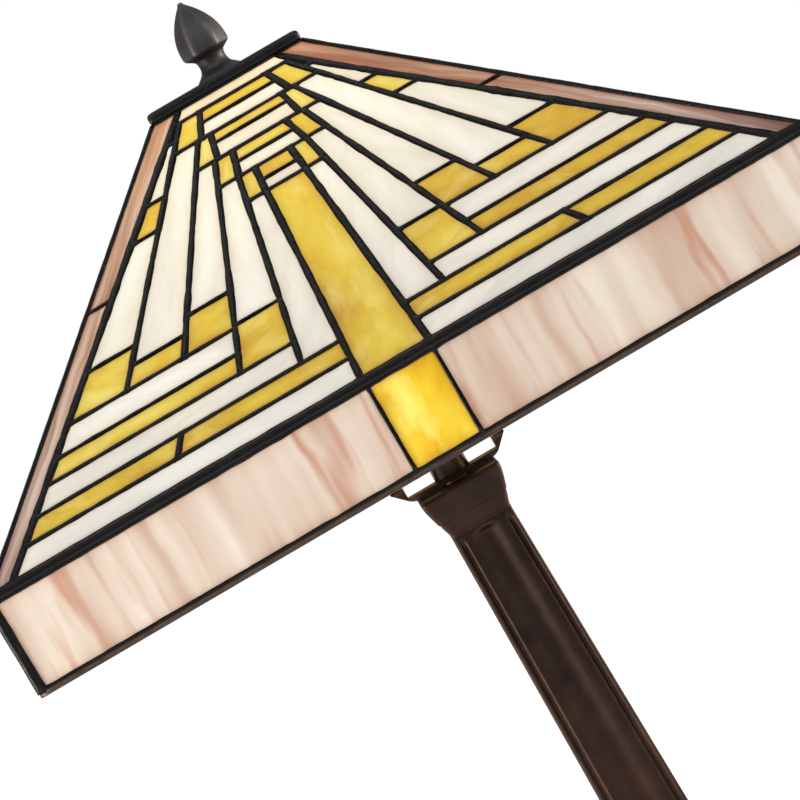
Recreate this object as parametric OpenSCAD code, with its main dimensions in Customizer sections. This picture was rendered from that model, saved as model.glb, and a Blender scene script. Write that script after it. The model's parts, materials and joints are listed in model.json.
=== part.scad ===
// Stained glass table lamp. A square shade of four leaded panels and a vertical apron hangs on a
// harp, over a bulb on a tapered square column. Millimetres, +Z up, front face towards -Y,
// origin at the centre of the base's underside.

/* [Lamp] */
// Height from the base's underside to the finial's tip
lamp_h = 571.5; // [570:0.5:573]
// Height of the finial above the cap
finial_h = 39.5; // [39:0.5:41]

/* [Shade] */
// Width of the shade over the apron
shade_w = 406.4; // [404:0.2:409]
// Width of the panels where they meet the cap
crown_w = 80.8; // [80:0.2:81.4]
// Rise from the apron's top edge to the cap
shade_rise = 142.5; // [141.5:0.5:143.5]
// Height of the apron
apron_h = 47.5; // [46:0.5:49]
// Thickness of the lead came
lead_t = 3.2; // [3:0.1:3.4]
// Thickness of the glass
glass_t = 2.4; // [2:0.1:2.8]
// Width of one lead line
lead_w = 2.2; // [1.8:0.1:2.4]

/* [Cap] */
// Width of the square cap
cap_w = 82; // [81.6:0.2:83]
// Height of the cap's edge
cap_t = 5.2; // [5:0.1:5.6]

/* [Column] */
// Width of the column under the capital
column_top_w = 32.7; // [32:0.1:34]
// Width of the column on the plinth
column_low_w = 39.8; // [39:0.1:41]
// Depth of the flute on each face
flute_depth = 1.6; // [1:0.1:2]
// Width of the foot
foot_w = 178; // [170:1:186]

/* [Harp] */
// Distance between the harp's two feet
harp_foot_span = 61.4; // [61:0.1:62]
// Radius of the harp's wire
harp_wire_r = 1.8; // [1.6:0.1:1.9]

/* [Hidden] */
SIDES = ["front", "right", "back", "left"];
$fn = 64;

lead_colour = [0.09, 0.09, 0.1];
bronze_colour = [0.25, 0.17, 0.14];
gunmetal_colour = [0.2, 0.21, 0.22];
brass_colour = [0.72, 0.55, 0.3];
white_colour = [0.96, 0.93, 0.88];
amber_colour = [0.88, 0.74, 0.18];
border_colour = [0.72, 0.56, 0.5];
cream_colour = [0.9, 0.82, 0.75];

// Heights
cap_z = lamp_h - finial_h - cap_t;
cap_top = lamp_h - finial_h;
apron_top = cap_z - shade_rise;
rim_z = apron_top - apron_h;
capital_top = apron_top - 79.1;
column_top = apron_top - 102;
plinth_z = 34;
column_z = 46;

// Slope of the panels, and of the hips between them
half_w = shade_w / 2;
half_crown = crown_w / 2;
run = half_w - half_crown;
slope = atan(shade_rise / run);
slant = norm([run, shade_rise]);
hip_rise = atan(shade_rise / (run * sqrt(2)));
hip_length = norm([run, run, shade_rise]);

// At each seam two sheets of came meet at an angle. Each stops short by its inset, so that
// their inner edges only just meet, and solder fills the groove.
touch = 0.05;
hip_half_angle = acos(pow(cos(slope), 2)) / 2;
hip_inset = lead_t * tan(hip_half_angle) + touch;
low_half_angle = (90 - slope) / 2;
low_inset = lead_t * tan(low_half_angle) + touch;
corner_half_angle = 45;
corner_inset = lead_t * tan(corner_half_angle) + touch;
// Each seam stops this far from the corners where it would run into its neighbours.
seam_gap = 4;
hip_seam_short = 5;
solder_bulge = 1.1;
rim_h = 3;
glass_sink = (lead_t - glass_t) / 2;

// A pattern line runs from a low point to a high point of a panel, each [across, up the slant],
// and may end with half the width of its own came.
half_lead = lead_w / 2;
level_lead = 1.4;
function half_width(line) = len(line) > 2 ? line[2] : half_lead;
function across(line, up) = let (low = line[0], high = line[1])
    low[0] + (high[0] - low[0]) * (up - low[1]) / (high[1] - low[1]);
function lean(line) = (line[1][0] - line[0][0]) / (line[1][1] - line[0][1]);
function margin(line) = half_width(line) * norm([1, lean(line)]);
function opposite(line) = [[-line[0][0], line[0][1]], [-line[1][0], line[1][1]], half_width(line)];

// The glass between two lines and two heights, half a came clear of each
function pane(inner, outer, low, high, level = level_lead) = let (a = low + level, b = high - level) [
    [across(inner, a) + margin(inner), a],
    [across(outer, a) - margin(outer), a],
    [across(outer, b) - margin(outer), b],
    [across(inner, b) + margin(inner), b]
];
function both_sides(panes) = concat(panes,
    [for (p = panes) [for (k = [3:-1:0]) [-p[k][0], p[k][1]]]]);

// Spokes of the pattern, from the border's edge in to the centre stripe
border_line = [[191.5, 0], [25.9, 216.3], 2];
spokes = [
    border_line,
    [[107.8, 70.4], [28.6, 207.9], 1.6],
    [[78.6, 70.4], [25.6, 190.1], 1.6],
    [[60.3, 44.7], [23.5, 172.3], 1.6],
    [[35.4, 31], [18, 153.9], 1.7],
    [[17, 0], [10.3, 136.7], 1.8]
];
stripe_line = spokes[5];

// Four stepped rows under the cap, each with an amber strip over a white one
row_top = 207.9;
row_pitch = 17.8;
function row(i) = row_top - row_pitch * i;
row_amber_h = [8, 7, 8.4, 10];
row_inner_high = [18, 19, 14, 9.3];
row_inner_low = [23.7, 21.8, 17.7, 10.4];
function row_line(i) = [[row_inner_low[i], row(i + 1)], [row_inner_high[i], row(i)], 1.4];

// Breaks down each ray, white and amber in turn, and the level bands below the rays.
// The first ray starts lower than its row, where its two edges have parted enough for glass.
ray_breaks = [
    [row(0) - 10, 168.4, 150.5, 92.2, 69.2],
    [row(1), 81.6, 69.2],
    [row(2), 91.4, 69.2],
    [row(3), 70.8, 43],
    [row(4), 29.5]
];
bands = [69.2, 54.4, 43, 29.5, 17.4, 3.3];
band_spoke = [3, 3, 4, 5, 5];
divider = [[101.8, 17.7], [96.5, 27.8], 1.7];
border_joint = 125.4;
hip_frame = 0.6;
hip_line = let (back = (hip_inset + hip_frame - half_lead) * norm([1, run / slant]))
    [[half_w - back, 0], [half_crown - back, slant]];

function ray_panes(kind) = [for (r = [0:4]) for (k = [kind:2:len(ray_breaks[r]) - 2])
    pane(spokes[r + 1], spokes[r], ray_breaks[r][k + 1], ray_breaks[r][k])];
white_panes = concat(
    [for (i = [0:3]) pane(opposite(row_line(i)), row_line(i), row(i + 1), row(i) - row_amber_h[i])],
    both_sides(concat(
        ray_panes(0),
        [for (b = [0, 2, 4]) pane(spokes[band_spoke[b]], border_line, bands[b + 1], bands[b])]
    ))
);
amber_panes = concat(
    [for (i = [0:3]) pane(opposite(row_line(i)), row_line(i), row(i) - row_amber_h[i], row(i))],
    [pane(opposite(stripe_line), stripe_line, bands[5], row(4))],
    both_sides(concat(
        [for (i = [0:3]) pane(row_line(i), spokes[i + 1], row(i + 1), row(i))],
        ray_panes(1),
        [pane(spokes[band_spoke[1]], border_line, bands[2], bands[1])],
        [pane(stripe_line, divider, bands[4], bands[3])],
        [pane(divider, border_line, bands[4], bands[3])]
    ))
);
border_panes = both_sides([
    pane(border_line, hip_line, bands[5], border_joint),
    pane(border_line, hip_line, border_joint, slant - half_lead)
]);
crown_pane = pane(opposite(border_line), border_line, row_top, slant - half_lead);

// The apron is drawn as a panel too, with heights counted down from its top edge.
apron_band = [rim_h + 0.1 - apron_h, -2.3];
apron_split = [[16.4, -apron_h], [16.4, 0]];
apron_end = [[half_w - corner_inset, -apron_h], [half_w - corner_inset, 0]];
apron_cream_pane = pane(apron_split, apron_end, apron_band[0], apron_band[1], half_lead);
apron_amber_pane = pane(opposite(apron_split), apron_split, apron_band[0], apron_band[1], half_lead);

module panes(list) {
    for (p = list) {
        polygon(p);
    }
}

module on_panel(side) {
    rotate([0, 0, 90 * side])
        translate([0, -half_w, apron_top])
            rotate([slope, 0, 0])
                children();
}

module on_apron(side) {
    rotate([0, 0, 90 * side])
        translate([0, -half_w, apron_top])
            rotate([90, 0, 0])
                children();
}

module came_sheet() {
    translate([0, 0, -lead_t])
        linear_extrude(lead_t)
            children();
}

module glass_sheet() {
    translate([0, 0, -glass_sink - glass_t])
        linear_extrude(glass_t)
            children();
}

// A square solid whose half-outline, given as [half-width, height] points from bottom to top,
// is the same seen from the front and from the side
module square_turned(outline) {
    profile = concat(outline, [for (k = [len(outline) - 1:-1:0]) [-outline[k][0], outline[k][1]]]);
    width = 2 * max([for (p = outline) p[0]]) + 2;
    intersection() {
        rotate([90, 0, 0])
            linear_extrude(width, center = true)
                polygon(profile);
        rotate([90, 0, 90])
            linear_extrude(width, center = true)
                polygon(profile);
    }
}

module tube(outer_r, inner_r, h) {
    difference() {
        cylinder(h = h, r = outer_r);
        translate([0, 0, -1])
            cylinder(h = h + 2, r = inner_r);
    }
}

// ---- Base ----
felt_t = 1.5;
cover_t = 1.5;
foot_wall = 5;
pipe_bore_r = 5.2;
pipe_r = 4.85;
inlet_z = 9;
inlet_hole_r = 5.2;
bushing_r = 5.15;
bushing_bore_r = 3.6;

module felt_pad() {
    color([0.1, 0.12, 0.1])
        linear_extrude(felt_t)
            square(foot_w - 4, center = true);
}

module bottom_cover() {
    color(gunmetal_colour)
        translate([0, 0, felt_t])
            linear_extrude(cover_t)
                square(foot_w - 2 * foot_wall - 0.6, center = true);
}

// Half-outline of the foot: upright edge, ledge, hollow curve up to the plinth
cove_r = 15;
foot_half = foot_w / 2;
function cove(shift) = [for (a = [0:15:90])
    [46 + shift + 26 * (1 - sin(a)), 34 + shift - cove_r * cos(a)]];
function foot_outline(shift) = concat(
    [[foot_half + shift, felt_t], [foot_half + shift, 13 + shift], [foot_half - 2 + shift, 15 + shift],
     [foot_half - 10 + shift, 17 + shift]],
    cove(shift)
);

module foot() {
    color(bronze_colour)
        difference() {
            square_turned(foot_outline(0));
            square_turned(foot_outline(-foot_wall));
            translate([0, 0, felt_t - 1])
                linear_extrude(cover_t + 2)
                    square(foot_w - 2 * foot_wall, center = true);
            translate([0, 0, plinth_z - 10])
                cylinder(h = 20, r = pipe_bore_r);
            translate([0, foot_half - 10, inlet_z])
                rotate([-90, 0, 0])
                    cylinder(h = 20, r = inlet_hole_r);
        }
}

module plinth() {
    color(bronze_colour)
        difference() {
            square_turned([[46, plinth_z], [46, 37.5], [44, 39], [34, 39.6], [33, 40.5],
                           [32.2, 43], [29.5, 45], [26.5, column_z]]);
            translate([0, 0, plinth_z - 1])
                cylinder(h = 20, r = pipe_bore_r);
        }
}

module cord_bushing() {
    color([0.08, 0.08, 0.08])
        translate([0, foot_half - foot_wall - 1.5, inlet_z])
            rotate([-90, 0, 0])
                difference() {
                    union() {
                        cylinder(h = foot_wall + 1.5, r = bushing_r);
                        translate([0, 0, foot_wall + 1.5])
                            cylinder(h = 2, r = bushing_r + 1.5);
                    }
                    translate([0, 0, -1])
                        cylinder(h = 20, r = bushing_bore_r);
                }
}

// ---- Column ----
column_h = column_top - column_z;
column_taper = atan((column_low_w - column_top_w) / 2 / column_h);
flute_share = 0.24;
flute_low = 14;
flute_high = column_h - 3;
flute_low_r = column_low_w * flute_share;
flute_top_r = column_top_w * flute_share;
column_cavity_r = 10;
column_head = 12;

module flute() {
    translate([0, flute_low + flute_low_r])
        circle(flute_low_r);
    translate([0, flute_high - flute_top_r])
        circle(flute_top_r);
    polygon([[-flute_low_r, flute_low + flute_low_r], [flute_low_r, flute_low + flute_low_r],
             [flute_top_r, flute_high - flute_top_r], [-flute_top_r, flute_high - flute_top_r]]);
}

module column() {
    outline = [[column_low_w / 2, column_z], [column_top_w / 2, column_top]];
    corner_share = 1.3;
    color(bronze_colour)
        difference() {
            intersection() {
                square_turned(outline);
                rotate([0, 0, 45])
                    square_turned([for (p = outline) [p[0] * corner_share, p[1]]]);
            }
            for (side = [0:3]) {
                rotate([0, 0, 90 * side])
                    translate([0, -column_low_w / 2, column_z])
                        rotate([90 - column_taper, 0, 0])
                            translate([0, 0, -flute_depth])
                                linear_extrude(flute_depth + 2)
                                    flute();
            }
            translate([0, 0, column_z - 1])
                cylinder(h = column_h - column_head + 1, r = column_cavity_r);
            translate([0, 0, column_z])
                cylinder(h = column_h + 1, r = pipe_bore_r);
        }
}

module capital() {
    z = capital_top;
    color(bronze_colour)
        difference() {
            square_turned([[16.35, column_top], [16.45, z - 20.9], [17.2, z - 18.6], [18.2, z - 15.6],
                           [18.4, z - 14.4], [19, z - 13.6], [20.3, z - 8.8], [21.4, z - 4.2],
                           [21.8, z - 1.2], [21.3, z]]);
            translate([0, 0, column_top - 1])
                cylinder(h = 30, r = pipe_bore_r);
        }
}

module lamp_pipe() {
    pipe_z = 22;
    color(brass_colour)
        translate([0, 0, pipe_z])
            tube(pipe_r, 3.4, capital_top + 12.6 - pipe_z);
}

module pipe_washer() {
    color(gunmetal_colour)
        translate([0, 0, 27.5])
            tube(13, pipe_r + 0.2, 1.5);
}

module pipe_nut() {
    color(brass_colour)
        translate([0, 0, 23.5])
            difference() {
                cylinder(h = 4, r = 9.2, $fn = 6);
                translate([0, 0, -1])
                    cylinder(h = 6, r = pipe_r + 0.05);
            }
}

// ---- Harp saddle ----
saddle_z = capital_top + 0.8;
saddle_t = 2.6;
saddle_low_half = 23.4;
harp_foot_x = harp_foot_span / 2;
saddle_tip = saddle_z + 8.5;
tab_top = capital_top + 19.1;

// A point at share t along a bend that leaves the line a-b and joins the line b-c
function bend(a, b, c, t) = a * pow(1 - t, 2) + b * 2 * t * (1 - t) + c * pow(t, 2);

module harp_saddle() {
    corner = [saddle_low_half, saddle_z];
    right = concat(
        [for (k = [0:4]) bend(corner - [3.2, 0], corner, corner + [2.3, 2.3], k / 4)],
        [[saddle_low_half + 8.5, saddle_tip], [24.8, saddle_tip], [24.8, saddle_z + saddle_t]]
    );
    outline = concat(right, [for (k = [len(right) - 1:-1:0]) [-right[k][0], right[k][1]]]);
    color(bronze_colour) {
        difference() {
            union() {
                rotate([90, 0, 0])
                    linear_extrude(12, center = true)
                        polygon(outline);
                for (end = [-1, 1]) {
                    translate([end * harp_foot_x, 0, (saddle_tip + tab_top) / 2 - 0.5])
                        cube([2, 5, tab_top - saddle_tip + 1], center = true);
                }
                translate([0, 0, capital_top])
                    cylinder(h = 1, r = 8);
            }
            translate([0, 0, capital_top - 1])
                cylinder(h = 10, r = pipe_r + 0.2);
        }
    }
}

// ---- Socket ----
socket_z = saddle_z + saddle_t;
neck_r = 9.5;
cup_z = capital_top + 23.1;
cup_r = 18.3;
shell_r = 17;
shell_top = capital_top + 62;
switch_z = capital_top + 33;
switch_shaft_r = 2;
switch_hole_r = 2.4;

module switch_hole() {
    translate([0, 0, switch_z])
        rotate([90, 0, 0])
            cylinder(h = 30, r = switch_hole_r);
}

module socket_cap() {
    color(brass_colour)
        rotate_extrude()
            polygon([[pipe_r + 0.1, socket_z], [neck_r, socket_z], [neck_r, socket_z + 9],
                     [11, socket_z + 11.5], [16, cup_z - 3], [cup_r, cup_z - 0.5], [cup_r, cup_z + 6],
                     [shell_r + 0.1, cup_z + 6], [shell_r + 0.1, cup_z + 0.2], [15, cup_z - 1.2],
                     [10, socket_z + 12.5], [pipe_r + 0.1, socket_z + 10]]);
}

module socket_shell() {
    color(brass_colour)
        difference() {
            translate([0, 0, cup_z + 0.3])
                tube(shell_r, shell_r - 0.8, shell_top - cup_z - 0.3);
            switch_hole();
        }
}

module socket_sleeve() {
    color([0.55, 0.42, 0.28])
        difference() {
            translate([0, 0, cup_z + 1])
                tube(shell_r - 0.9, shell_r - 1.9, shell_top - cup_z - 2);
            switch_hole();
        }
}

module socket_core() {
    color([0.1, 0.1, 0.1])
        difference() {
            translate([0, 0, cup_z + 1])
                cylinder(h = 14, r = shell_r - 2);
            switch_hole();
        }
}

screw_shell_z = cup_z + 15;
module screw_shell() {
    color(brass_colour)
        translate([0, 0, screw_shell_z])
            difference() {
                cylinder(h = shell_top - screw_shell_z - 1, r = 14);
                translate([0, 0, 0.5])
                    cylinder(h = 40, r = 13.3);
                translate([0, 0, -1])
                    cylinder(h = 40, r = 5);
            }
}

module centre_contact() {
    color(brass_colour)
        translate([0, 0, screw_shell_z])
            cylinder(h = 1.2, r = 3);
}

module switch_knob() {
    reach = 22;
    knob_r = 6.5;
    color([0.1, 0.09, 0.08])
        translate([0, -10, switch_z])
            rotate([90, 0, 0]) {
                cylinder(h = reach - 10 + 1, r = switch_shaft_r);
                translate([0, 0, reach - 10])
                    difference() {
                        cylinder(h = 12, r = knob_r);
                        for (a = [0:45:315]) {
                            rotate([0, 0, a])
                                translate([knob_r + 0.6, 0, -1])
                                    cylinder(h = 14, r = 1.2);
                        }
                    }
            }
}

// ---- Bulb ----
bulb_base_r = 13;
bulb_z = screw_shell_z + 1.3;
bulb_seat = shell_top + 2;
bulb_r = 30;
bulb_centre = bulb_seat + 54;

module bulb_base() {
    color([0.75, 0.75, 0.76])
        rotate_extrude()
            polygon([[0, bulb_z], [4, bulb_z], [5, bulb_z + 1.2], [10, bulb_z + 3],
                     [bulb_base_r, bulb_z + 6], [bulb_base_r, bulb_seat], [0, bulb_seat]]);
}

// Half-outline of the bulb's glass, drawn in by wall
function bulb_outline(wall) = concat(
    [[0, bulb_seat + wall], [12.5 - wall, bulb_seat + wall], [13.5 - wall, bulb_seat + 8],
     [17 - wall, bulb_seat + 20]],
    [for (a = [-38:8:82]) [(bulb_r - wall) * cos(a), bulb_centre + (bulb_r - wall) * sin(a)]],
    [[0, bulb_centre + bulb_r - wall]]
);

module bulb_glass() {
    color([0.97, 0.96, 0.92])
        rotate_extrude()
            difference() {
                polygon(bulb_outline(0));
                polygon(bulb_outline(1));
            }
}

// ---- Harp ----
harp_top = cap_z + 3;
head_h = 6;
wire_z = harp_top - head_h / 2;
sleeve_z = saddle_tip + 0.8;
sleeve_top = tab_top + 2.5;
bend_r = 20;
bend_angle = 40;
top_bend_r = 40;
belly_x = 50;

module arc_wire(centre, r, from, to) {
    translate([centre[0], 0, centre[1]])
        rotate([90, 0, 0])
            rotate([0, 0, from])
                rotate_extrude(angle = to - from)
                    translate([r, 0])
                        circle(harp_wire_r, $fn = 32);
}

module straight_wire(from, to) {
    translate([from[0], 0, from[1]])
        rotate([0, atan2(to[0] - from[0], to[1] - from[1]), 0])
            cylinder(h = norm(to - from), r = harp_wire_r, $fn = 32);
}

// The right-hand wire: up from its foot, out, up beside the bulb, and over to the head
module harp_wire_side() {
    first_centre = [harp_foot_x + bend_r, sleeve_top + 6];
    first_end = first_centre + bend_r * [-cos(bend_angle), sin(bend_angle)];
    across_left = belly_x - bend_r * (1 - cos(bend_angle)) - first_end[0];
    second_start = first_end + across_left * [1, 1 / tan(bend_angle)];
    second_centre = second_start + bend_r * [-cos(bend_angle), sin(bend_angle)];
    top_centre = [belly_x - top_bend_r, wire_z - top_bend_r];
    straight_wire([harp_foot_x, sleeve_top - 0.5], [harp_foot_x, first_centre[1]]);
    arc_wire(first_centre, bend_r, 180 - bend_angle, 180);
    straight_wire(first_end, second_start);
    arc_wire(second_centre, bend_r, -bend_angle, 0);
    straight_wire([belly_x, second_centre[1]], [belly_x, top_centre[1]]);
    arc_wire(top_centre, top_bend_r, 0, 90);
    straight_wire([top_centre[0], wire_z], [4, wire_z]);
    translate([harp_foot_x, 0, sleeve_z])
        difference() {
            union() {
                cylinder(h = sleeve_top - sleeve_z, r = 4);
                cylinder(h = 0.8, r = 4.8);
            }
            translate([0, 0, -1])
                cylinder(h = tab_top - sleeve_z + 1, r = 3);
        }
}

module harp_wire_left() {
    color(brass_colour)
        rotate([0, 0, 180])
            harp_wire_side();
}

module harp_wire_right() {
    color(brass_colour)
        harp_wire_side();
}

module harp_head() {
    color(brass_colour)
        difference() {
            translate([0, 0, harp_top - head_h / 2])
                cube([20, 10, head_h], center = true);
            translate([0, 0, wire_z])
                rotate([0, 90, 0])
                    cylinder(h = 30, r = harp_wire_r + 0.05, center = true);
            cylinder(h = lamp_h, r = stud_r + 0.05);
        }
}

stud_r = 3.175;
stud_top = cap_top + 12;
module harp_stud() {
    stud_z = harp_top - head_h;
    color(brass_colour) {
        translate([0, 0, stud_z])
            cylinder(h = stud_top - stud_z, r = stud_r);
        translate([0, 0, stud_z - 1.5])
            cylinder(h = 1.5, r = 4.5);
    }
}

module ferrule(end) {
    color(gunmetal_colour)
        translate([end * harp_foot_x, 0, sleeve_z + 0.8])
            tube(5.2, 4.1, 10);
}

// ---- Shade ----
cap_recess = 3;
cap_recess_w = 70;
module shade_cap() {
    half = cap_w / 2;
    color(gunmetal_colour)
        difference() {
            square_turned([[half - 0.6, cap_z], [half, cap_z + 0.8], [half, cap_top - 1.4],
                           [half - 0.6, cap_top - 0.5], [half - 1.8, cap_top]]);
            translate([0, 0, cap_z - 1])
                linear_extrude(cap_recess + 1)
                    square(cap_recess_w, center = true);
            translate([0, 0, cap_z])
                cylinder(h = cap_t + 1, r = 4.2);
        }
}

module crown_ring() {
    drop = lead_t * cos(slope);
    inward = lead_t * sin(slope);
    color(brass_colour)
        difference() {
            square_turned([[half_crown - inward, cap_z - drop], [half_crown, cap_z]]);
            translate([0, 0, cap_z - 10])
                linear_extrude(20)
                    square(cap_recess_w, center = true);
        }
}

// A run of solder along +X, rounded on its +Z side, in the groove between two sheets
module seam(length, half_angle, inset) {
    edge = inset * [cos(half_angle), -sin(half_angle)];
    root = edge - lead_t * [sin(half_angle), cos(half_angle)];
    rotate([90, 0, 90])
        linear_extrude(length)
            polygon(concat(
                [[-root[0], root[1]], root],
                [for (a = [0:30:180]) [edge[0] * cos(a), edge[1] + solder_bulge * sin(a)]]
            ));
}

module seam_solder() {
    color(lead_colour)
        for (side = [0:3]) {
            rotate([0, 0, 90 * side])
                translate([-half_w, -half_w, apron_top]) {
                    rotate([0, -hip_rise, 45])
                        translate([seam_gap, 0, 0])
                            seam(hip_length - hip_seam_short - seam_gap, hip_half_angle, hip_inset);
                    rotate([90 - low_half_angle, 0, 0])
                        translate([seam_gap, 0, 0])
                            seam(shade_w - 2 * seam_gap, low_half_angle, low_inset);
                    translate([0, 0, rim_h - apron_h])
                        rotate([0, -90, 45])
                            seam(apron_h - rim_h - seam_gap, corner_half_angle, corner_inset);
                }
        }
}

module shade_rim() {
    color(bronze_colour)
        translate([0, 0, rim_z])
            linear_extrude(rim_h)
                difference() {
                    square(shade_w, center = true);
                    square(shade_w - 2 * lead_t, center = true);
                }
}

module panel_lead(side) {
    hip_back = hip_inset * norm([1, run / slant]);
    shift = run / slant * low_inset;
    color(lead_colour)
        on_panel(side)
            came_sheet()
                difference() {
                    polygon([[-half_w + hip_back + shift, low_inset], [half_w - hip_back - shift, low_inset],
                             [half_crown - hip_back, slant], [-half_crown + hip_back, slant]]);
                    panes(concat(white_panes, amber_panes, border_panes, [crown_pane]));
                }
}

module panel_glass(side, list, tint) {
    color(tint)
        on_panel(side)
            glass_sheet()
                panes(list);
}

module crown_glass() {
    for (side = [0:3]) {
        panel_glass(side, [crown_pane], [0.93, 0.79, 0.64]);
    }
}

module apron_lead(side) {
    end = half_w - corner_inset;
    color(lead_colour)
        on_apron(side)
            came_sheet()
                difference() {
                    polygon([[-end, rim_h - apron_h], [end, rim_h - apron_h],
                             [end, -low_inset], [-end, -low_inset]]);
                    panes(concat(both_sides([apron_cream_pane]), [apron_amber_pane]));
                }
}

module apron_glass(side, list, tint) {
    color(tint)
        on_apron(side)
            glass_sheet()
                panes(list);
}

module apron_amber() {
    for (side = [0:3]) {
        apron_glass(side, [apron_amber_pane], amber_colour);
    }
}

// ---- Finial ----
insert_r = 5.2;
insert_h = 13;
bulb_low = 12.8;
finial_widest = 16.1;
finial_flat = 11;
ogive_power = 2.1;

module finial_insert() {
    color(brass_colour)
        translate([0, 0, cap_top])
            tube(insert_r, stud_r + 0.04, insert_h);
}

module acorn() {
    rise = finial_h - finial_widest;
    steps = 12;
    flank = [for (k = [0:steps - 1])
        [finial_flat * (1 - pow(k / steps, ogive_power)), finial_widest + rise * k / steps]];
    right = concat([[finial_flat - 0.5, bulb_low]], flank, [[0, finial_h]]);
    outline = concat(right, [for (k = [len(right) - 2:-1:0]) [-right[k][0], right[k][1]]]);
    intersection_for(a = [0, 60, 120]) {
        rotate([90, 0, 90 + a])
            linear_extrude(40, center = true)
                polygon(outline);
    }
}

module finial() {
    color(gunmetal_colour)
        translate([0, 0, cap_top])
            difference() {
                union() {
                    acorn();
                    rotate_extrude()
                        polygon(concat(
                            [[0, 0], [11.6, 0], [11.8, 0.8], [11.1, 1.8], [9.1, 3], [7.8, 4.6], [7.2, 6.6],
                             [7.1, 8.6], [7.4, 9.6], [8.6, 10.8], [finial_flat - 0.6, bulb_low + 0.1]],
                            [[0, bulb_low + 0.1]]
                        ));
                }
                translate([0, 0, -1])
                    cylinder(h = insert_h + 2, r = insert_r + 0.05);
            }
}

felt_pad();
bottom_cover();
foot();
plinth();
cord_bushing();
column();
capital();
lamp_pipe();
pipe_washer();
pipe_nut();
harp_saddle();
socket_cap();
socket_shell();
socket_sleeve();
socket_core();
screw_shell();
centre_contact();
switch_knob();
bulb_base();
bulb_glass();
harp_wire_left();
harp_wire_right();
harp_head();
harp_stud();
ferrule(-1);  // ferrule_left
ferrule(1);  // ferrule_right
shade_cap();
crown_ring();
seam_solder();
shade_rim();
crown_glass();
apron_amber();
for (i = [0:3]) {
    panel_lead(i);
    panel_glass(i, white_panes, white_colour);
    panel_glass(i, amber_panes, amber_colour);
    panel_glass(i, border_panes, border_colour);
    apron_lead(i);
    apron_glass(i, both_sides([apron_cream_pane]), cream_colour);
}
finial_insert();
finial();
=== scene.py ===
"""Looks of the stained glass table lamp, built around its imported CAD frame.

Metres, +Z up, front face towards -Y. Every piece takes its place from the frame's own boxes and meshes.
"""

import json
import math
import random

import bmesh
import bpy
from mathutils import Matrix, Vector, noise


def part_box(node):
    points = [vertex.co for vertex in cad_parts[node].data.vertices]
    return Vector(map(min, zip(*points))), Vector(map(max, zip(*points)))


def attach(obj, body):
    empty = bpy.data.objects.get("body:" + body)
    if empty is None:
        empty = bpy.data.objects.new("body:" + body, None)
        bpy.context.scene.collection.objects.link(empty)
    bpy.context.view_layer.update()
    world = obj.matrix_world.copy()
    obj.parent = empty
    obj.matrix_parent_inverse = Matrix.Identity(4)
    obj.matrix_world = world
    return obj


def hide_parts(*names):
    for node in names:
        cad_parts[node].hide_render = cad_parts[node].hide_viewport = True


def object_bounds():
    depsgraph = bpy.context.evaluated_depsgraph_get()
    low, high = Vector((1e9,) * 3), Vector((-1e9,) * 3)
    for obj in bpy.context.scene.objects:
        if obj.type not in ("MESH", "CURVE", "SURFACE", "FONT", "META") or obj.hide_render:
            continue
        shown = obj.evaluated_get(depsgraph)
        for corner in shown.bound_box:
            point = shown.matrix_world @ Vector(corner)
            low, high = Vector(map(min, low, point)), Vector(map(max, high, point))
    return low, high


MM = 0.001
SIDES = ("front", "right", "back", "left")

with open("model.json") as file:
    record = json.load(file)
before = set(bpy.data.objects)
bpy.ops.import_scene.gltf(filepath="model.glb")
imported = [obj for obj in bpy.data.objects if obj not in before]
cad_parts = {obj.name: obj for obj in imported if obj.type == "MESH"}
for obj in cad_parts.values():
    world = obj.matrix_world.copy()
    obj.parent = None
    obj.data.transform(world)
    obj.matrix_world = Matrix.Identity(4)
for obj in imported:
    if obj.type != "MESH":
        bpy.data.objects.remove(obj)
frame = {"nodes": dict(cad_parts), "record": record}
cad_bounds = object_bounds()
nodes = frame["nodes"]


# ---------------------------------------------------------------- places read from the frame

rim_low, rim_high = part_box("shade_rim")
cap_low, cap_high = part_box("shade_cap")
half_width = rim_high.x
rim_z = rim_low.z
crown_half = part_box("crown_ring")[1].x
crown_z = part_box("crown_ring")[1].z
apron_glass_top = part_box("apron_amber")[1].z
apron_top = apron_glass_top + 3.4 * MM
bulb_low, bulb_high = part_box("bulb_glass")
bulb_centre = Vector((0, 0, bulb_high.z - 30 * MM))


# ---------------------------------------------------------------- camera

CAMERA_DISTANCE = 1.65
CAMERA_AZIMUTH = math.radians(0.84)
CAMERA_PITCH = math.radians(4.97)
CAMERA_ROLL = math.radians(30.24)
CAMERA_ASIDE = 4.2 * MM
CAMERA_BELOW_CAP = 36.2 * MM
CAMERA_LENS = 153.3


def add_camera():
    ahead = Vector((math.sin(CAMERA_AZIMUTH), math.cos(CAMERA_AZIMUTH), 0))
    right = Vector((ahead.y, -ahead.x, 0))
    place = -CAMERA_DISTANCE * ahead - CAMERA_ASIDE * right
    place.z = cap_high.z - CAMERA_BELOW_CAP
    look = ahead * math.cos(CAMERA_PITCH) - Vector((0, 0, math.sin(CAMERA_PITCH)))
    up = right.cross(look)
    rolled_up = up * math.cos(CAMERA_ROLL) + right * math.sin(CAMERA_ROLL)
    rolled_right = look.cross(rolled_up)
    turn = Matrix((rolled_right, rolled_up, -look)).transposed()
    data = bpy.data.cameras.new("camera")
    data.lens = CAMERA_LENS
    data.sensor_width = 36
    data.clip_start = 0.01
    data.clip_end = 100
    camera = bpy.data.objects.new("camera", data)
    camera.matrix_world = Matrix.Translation(place) @ turn.to_4x4()
    bpy.context.scene.collection.objects.link(camera)
    bpy.context.scene.camera = camera


add_camera()


# ---------------------------------------------------------------- node-tree helpers


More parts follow.
